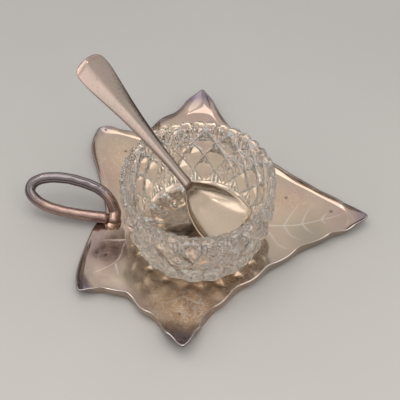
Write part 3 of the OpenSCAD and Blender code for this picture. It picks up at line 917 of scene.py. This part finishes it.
print("stage: salt spoon")
saltSpoon = {  # pairs of places along the spoon are counted from the neck towards the bowl
    "handle": 52.0,
    "neck": 2.0,  # thickness at the neck
    "sheet": 1.0,
    "endThick": 1.2,
    "taperPower": 1.5,
    "bowlLength": 20.5,
    "bowlWidth": 20.2,
    "bowlDepth": 3.5,
    "bowlBend": 12.0,
    "bowlWiden": 0.67,  # share of the bowl over which the metal thins
    "dipPower": 0.6,
    "wallPower": 5,
    "cornerRound": 1.5,
    "turn": -35.0,
    "shift": 3.0,
    "bowlReach": 12.6,
    "restGap": 0.25,
    "outline": [  # place along the spoon from the neck, half of its width there
        (-52, 5.5), (-50.5, 5.8), (-48, 6.0), (-45, 5.95), (-42, 5.55), (-38, 4.9), (-31, 3.75), (-25, 3.0),
        (-18, 2.35), (-10, 1.8), (-3, 1.75), (0, 1.95), (1.5, 3.3), (3.5, 5.2), (7, 7.8), (12, 9.7),
        (16, 10.1), (20.5, 10.15)],
    "outlineSteps": 10,
    "endRound": 3.6,
    "endPower": 2.6,
    "edgePower": 0.45,  # below 1 the edges are squarer
    "crown": 0.5,
    "neckRound": [(-24, -6), (0, 3)],  # between these the stem turns round in section, and flat again
    "ridge": 0.6,
    "ridgeDrop": 0.45,
    "ridgeEnd": (-26, -10),
    "ridgeSoft": (0.004, 0.05),  # how blunt the ridge is at the end, and how much blunter nearer the neck
    "ridgeBlunt": (-46, -34),
    "ridgeWidth": 5.0,  # half width from which the ridge is full
    "tipTurn": 0.6,
    "tipLength": 7.0,
    "rimFlat": 0.05,  # share of the bowl's half width that is its flat bright rim
    "gilt": (-1, 4),
    "dullSide": (0.15, 0.9),  # the right half of the handle is the dull one
    "dullRun": [(-48, -30), (-14, -4)],
    "stations": 170,
    "sides": 56,
}


def spoonHalfWidth(s):
    p = saltSpoon
    table = curveThrough(p["outline"], p["outlineSteps"])
    half = np.interp(s, table[:, 0], table[:, 1])
    into = np.clip((p["endRound"] - (s + p["handle"])) / p["endRound"], 0, 1)
    half = half * (1 - into ** p["endPower"]) ** (1 / p["endPower"])
    corner = np.clip((s - p["bowlLength"] + p["cornerRound"]) / p["cornerRound"], 0, 1)
    return half - p["cornerRound"] * (1 - np.sqrt(1 - corner ** 2))


def spoonThick(s):
    p = saltSpoon
    handle = p["neck"] + (p["endThick"] - p["neck"]) * np.clip(-s / p["handle"], 0, 1) ** p["taperPower"]
    bowl = p["neck"] + (p["sheet"] - p["neck"]) * np.clip(s / (p["bowlWiden"] * p["bowlLength"]), 0, 1)
    return np.where(s < 0, handle, bowl)


def spoonMiddle(s, v):
    # height of the middle of the metal above the line of the handle
    p = saltSpoon
    inBowl = np.clip(s / p["bowlLength"], 0, 1)
    inside = np.minimum(1, np.abs(v) / (1 - p["rimFlat"]))
    dip = p["bowlDepth"] * np.sin(np.pi * inBowl ** p["dipPower"]) * (1 - inside ** p["wallPower"])
    lift = np.maximum(s, 0) * math.tan(math.radians(p["bowlBend"]))
    tip = -p["tipTurn"] * np.clip((-s - p["handle"] + p["tipLength"]) / p["tipLength"], 0, 1) ** 2
    return lift - dip + tip


def spoonFrame():
    # the handle lies on the rim's inner edge and the bowl's outer corner on the glass
    p, d = saltSpoon, glassDish
    dishZ = leafTray["sheet"]
    rimZ = d["seatZ"] + d["height"]
    mouth = d["radius"] - d["rimDrawIn"] - d["rimWall"]
    rimTouch = np.array([-math.sqrt(mouth ** 2 - p["shift"] ** 2), rimZ + p["restGap"]])
    corner = math.hypot(p["bowlReach"], p["shift"] + p["bowlWidth"] / 2)
    climb = np.clip((corner - d["flatRadius"]) / (mouth - d["flatRadius"]), 0, 1) ** d["bowlPower"]
    bowlZ = dishZ + d["floor"] + (rimZ - dishZ - d["floor"]) * climb
    span = np.array([p["bowlReach"], bowlZ + p["restGap"]]) - rimTouch
    length = np.linalg.norm(span)
    stemUnder = -spoonThick(p["bowlLength"] - length) / 2
    frontUnder = p["bowlLength"] * math.tan(math.radians(p["bowlBend"])) - p["sheet"] / 4
    step = frontUnder - stemUnder
    touch = math.sqrt(length ** 2 - step ** 2)
    rest = touch - p["bowlLength"]
    slope = math.atan2(step, touch) - math.atan2(span[1], span[0])
    neck = rimTouch + np.array([
        rest * math.cos(slope) - stemUnder * math.sin(slope),
        -rest * math.sin(slope) - stemUnder * math.cos(slope)])
    return neck, slope


def makeSpoon(material):
    p = saltSpoon
    neck, slope = spoonFrame()
    turn = math.radians(p["turn"])
    half = p["stations"] // 2
    t = np.linspace(0, 1, half, endpoint=False)
    run = np.concatenate([-p["handle"] * np.cos(t * np.pi / 2), np.linspace(0, p["bowlLength"], half)])
    around = roundAngles(p["sides"])
    v, face = np.cos(around), np.sin(around)
    edge = np.sign(face) * np.abs(face) ** p["edgePower"] * (1 - p["crown"] * v * v)
    rings, bowlShare, dullShare = [], [], []

    def within(s, begin, end):
        return smoothStep(*begin, s) * (1 - smoothStep(*end, s))

    for s in run:
        wide = spoonHalfWidth(s)
        rounded = within(s, *p["neckRound"])
        profile = edge * (1 - rounded) + face * rounded
        soft = p["ridgeSoft"][0] + p["ridgeSoft"][1] * smoothStep(*p["ridgeBlunt"], s)
        fold = 1 - np.sqrt(v * v + soft) / math.sqrt(1 + soft)
        roof = p["ridge"] * (fold - p["ridgeDrop"]) * (1 - smoothStep(*p["ridgeEnd"], s))
        roof = roof * min(1, wide / p["ridgeWidth"])
        n = spoonMiddle(s, v) + spoonThick(s) / 2 * profile + roof
        u = neck[0] + s * math.cos(slope) + n * math.sin(slope)
        z = neck[1] - s * math.sin(slope) + n * math.cos(slope)
        y = p["shift"] + v * wide
        rings.append(np.column_stack([
            u * math.cos(turn) - y * math.sin(turn), u * math.sin(turn) + y * math.cos(turn), z]))
        bowlShare.append(smoothStep(*p["gilt"], s) * (face > 0))
        dullShare.append(smoothStep(*p["dullSide"], v) * within(s, *p["dullRun"]))
    points = np.vstack(rings + [[rings[0].mean(0)]])
    faces = stackFaces(len(rings), p["sides"], flip=True)
    faces += fanFaces(len(points) - 1, 0, p["sides"], flip=True)
    # the bowl's front edge is a thin curved strip: its two faces are sewn together across the thickness
    last = (len(rings) - 1) * p["sides"]
    for k in range(1, p["sides"] // 2):
        a, b = last + k, last + p["sides"] - k
        c, d = last + k + 1, last + p["sides"] - k - 1
        faces.append([a, c, b] if c == d else [a, c, d, b])
    faces.append([last, last + 1, last + p["sides"] - 1])
    spoon = makePiece("saltSpoon", points, faces, material)
    paintAttribute(spoon, "bowlShare", np.concatenate(bowlShare + [[0]]))
    paintAttribute(spoon, "dullShare", np.concatenate(dullShare + [[0]]))
    return spoon


spoonFinish = {
    "silver": "#A69990",
    "rose": "#B09D93",
    "gilt": "#C4B2A0",
    "tarnish": "#6B5F58",
    "patch": 9.0,
    "patchBand": (0.42, 0.65),
    "speck": 0.9,
    "speckBand": (0.58, 0.78, 0.0, 0.6),
    "dull": 0.32,
    "roughBand": (0.0, 1.0, 0.10, 0.28),
}


def silverPlateOnSpoon():
    # Stamped and burnished silver plate, worn satin, with a little gilt left in the bowl and dark specks on
    # the stem
    f = spoonFinish
    material, tree, place = newMaterial("silverPlateOnSpoon")
    patch = noiseShare(tree, place, perMm(f["patch"]), Detail=3.0)
    speck = noiseShare(tree, place, perMm(f["speck"]), Detail=5.0, Roughness=0.7)
    base = mixColour(tree, mapRange(tree, patch, *f["patchBand"]), f["silver"], f["rose"])
    gilt = mixColour(tree, paintedShare(tree, "bowlShare"), base, f["gilt"])
    specks = mathShare(tree, "MULTIPLY_ADD", paintedShare(tree, "dullShare"), f["dull"], speck)
    spotted = mixColour(tree, mapRange(tree, specks, *f["speckBand"]), gilt, f["tarnish"])
    rough = mapRange(tree, speck, *f["roughBand"])
    addSurface(tree, {"Base Color": spotted, "Metallic": 1.0, "Roughness": rough})
    return material


spoon = makeSpoon(silverPlateOnSpoon())
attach(spoon, "spoon")
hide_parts("salt_spoon")

print("stage: floor, light and world")
studio = {
    # painted light: the sheet's tone falls from the front to the back
    "floorNear": "#C6C3C0",
    "floorFar": "#B3B1AF",
    "floorLightFalloff": (-70, 110),
    "floorHalf": 1500.0,
    "cloud": 60.0,
    "cloudBand": (0.0, 1.0, 0.95, 1.05),
    "horizon": "#4E4A48",
    "horizonBand": (0.05, 0.45),
    "dome": "#F2F0ED",
    "front": "#D3CECA",
    "frontBand": (-0.85, -0.4),
    "through": "#E6D6BC",
    "furniture": "#1F1B17",
    "camera": "#C4BFB8",
    "clutter": 2.6,  # patches of the room across the dome
    "clutterBand": (0.35, 0.65, 0.82, 1.16),
    "things": 5.0,  # smaller dark and light things that the glass picks up
    "thingsBand": (0.47, 0.55, 0.0, 0.9),
    "bounces": 12,
}


def paperFloor():
    # Uncoated paper sheet: matt and pale, with a faint cloudy tooth, and painted light: lighter towards the
    # front, darker towards the back
    material, tree, place = newMaterial("uncoatedPaper")
    cloud = noiseShare(tree, place, perMm(studio["cloud"]), Detail=4.0)
    back = addNode(tree, "ShaderNodeSeparateXYZ", inputs={0: place}).outputs["Y"]
    far = mapRange(tree, back, *[y * mm for y in studio["floorLightFalloff"]])
    sheet = mixColour(tree, far, studio["floorNear"], studio["floorFar"])
    colour = mixColour(tree, 1.0, sheet, mapRange(tree, cloud, *studio["cloudBand"]), "MULTIPLY")
    addSurface(tree, {"Base Color": colour, "Roughness": 0.9, "Specular IOR Level": 0.2})
    return material


h = studio["floorHalf"]
corners = [(-h, -h, 0), (h, -h, 0), (h, h, 0), (-h, h, 0)]
floor = makePiece("paperFloor", corners, [[0, 1, 2, 3]], paperFloor())


def makeWorld():
    # a white room: dark furniture along the horizon, pale walls and ceiling, dimmer on the photographer's
    # side; what shines through the glass is dimmer, warmer and more broken
    world = bpy.data.worlds.new("softRoom")
    bpy.context.scene.world = world
    world.use_nodes = True
    tree = world.node_tree
    tree.nodes.clear()
    way = addNode(tree, "ShaderNodeTexCoord").outputs["Generated"]
    split = addNode(tree, "ShaderNodeSeparateXYZ", inputs={0: way})
    light = addNode(tree, "ShaderNodeLightPath")
    low = mapRange(tree, split.outputs["Z"], *studio["horizonBand"], curve="SMOOTHSTEP")
    back = mapRange(tree, split.outputs["Y"], *studio["frontBand"], curve="SMOOTHSTEP")
    high = mixColour(tree, back, studio["front"], studio["dome"])
    plain = mixColour(tree, low, studio["horizon"], high)
    clutter = noiseShare(tree, way, studio["clutter"], Detail=3.0, Roughness=0.6)
    room = mixColour(tree, 1.0, plain, mapRange(tree, clutter, *studio["clutterBand"]), "MULTIPLY")
    things = noiseShare(tree, way, studio["things"], Detail=2.0, Roughness=0.5)
    broken = mapRange(tree, things, *studio["thingsBand"])
    beyond = mixColour(tree, 1.0, studio["through"], broken, "MULTIPLY")
    above = mixColour(tree, low, studio["furniture"], beyond)
    glassy = mixColour(tree, light.outputs["Is Transmission Ray"], room, above)
    seen = mixColour(tree, light.outputs["Is Camera Ray"], glassy, studio["camera"])
    background = addNode(tree, "ShaderNodeBackground", inputs={"Color": seen, "Strength": 1.0})
    addNode(tree, "ShaderNodeOutputWorld", inputs={"Surface": background.outputs[0]})


makeWorld()


def addLamp(name, place, aim, size, power, colour):
    data = bpy.data.lights.new(name, "AREA")
    data.shape = "RECTANGLE"
    data.size, data.size_y = size[0] * mm, size[1] * mm
    data.energy = power
    data.color = hexLinear(colour)[:3]
    lamp = bpy.data.objects.new(name, data)
    lamp.location = Vector(place) * mm
    lamp.rotation_euler = (Vector(place) - Vector(aim)).to_track_quat("Z", "Y").to_euler()
    bpy.context.scene.collection.objects.link(lamp)


addLamp("ceilingPanel", (-200, 120, 1200), (0, 10, 0), (1040, 810), 3.3, "#FFFCF8")
addLamp("ceilingLamp", (520, -480, 1100), (0, 10, 0), (900, 700), 1.4, "#FFFCF8")
for k, (x, y) in enumerate([(-420, 320), (460, 240)]):
    addLamp("downLight%d" % k, (x, y, 1200), (0, 0, 0), (70, 70), 0.2, "#FFF8EC")

bpy.context.scene.view_settings.view_transform = "Standard"
# light that bounces about in cut glass keeps its facets crisp up to here; much longer paths only add haze
bpy.context.scene.cycles.max_bounces = studio["bounces"]
bpy.context.scene.cycles.transmission_bounces = studio["bounces"]
bpy.context.scene.cycles.glossy_bounces = studio["bounces"]

print("stage: finish")
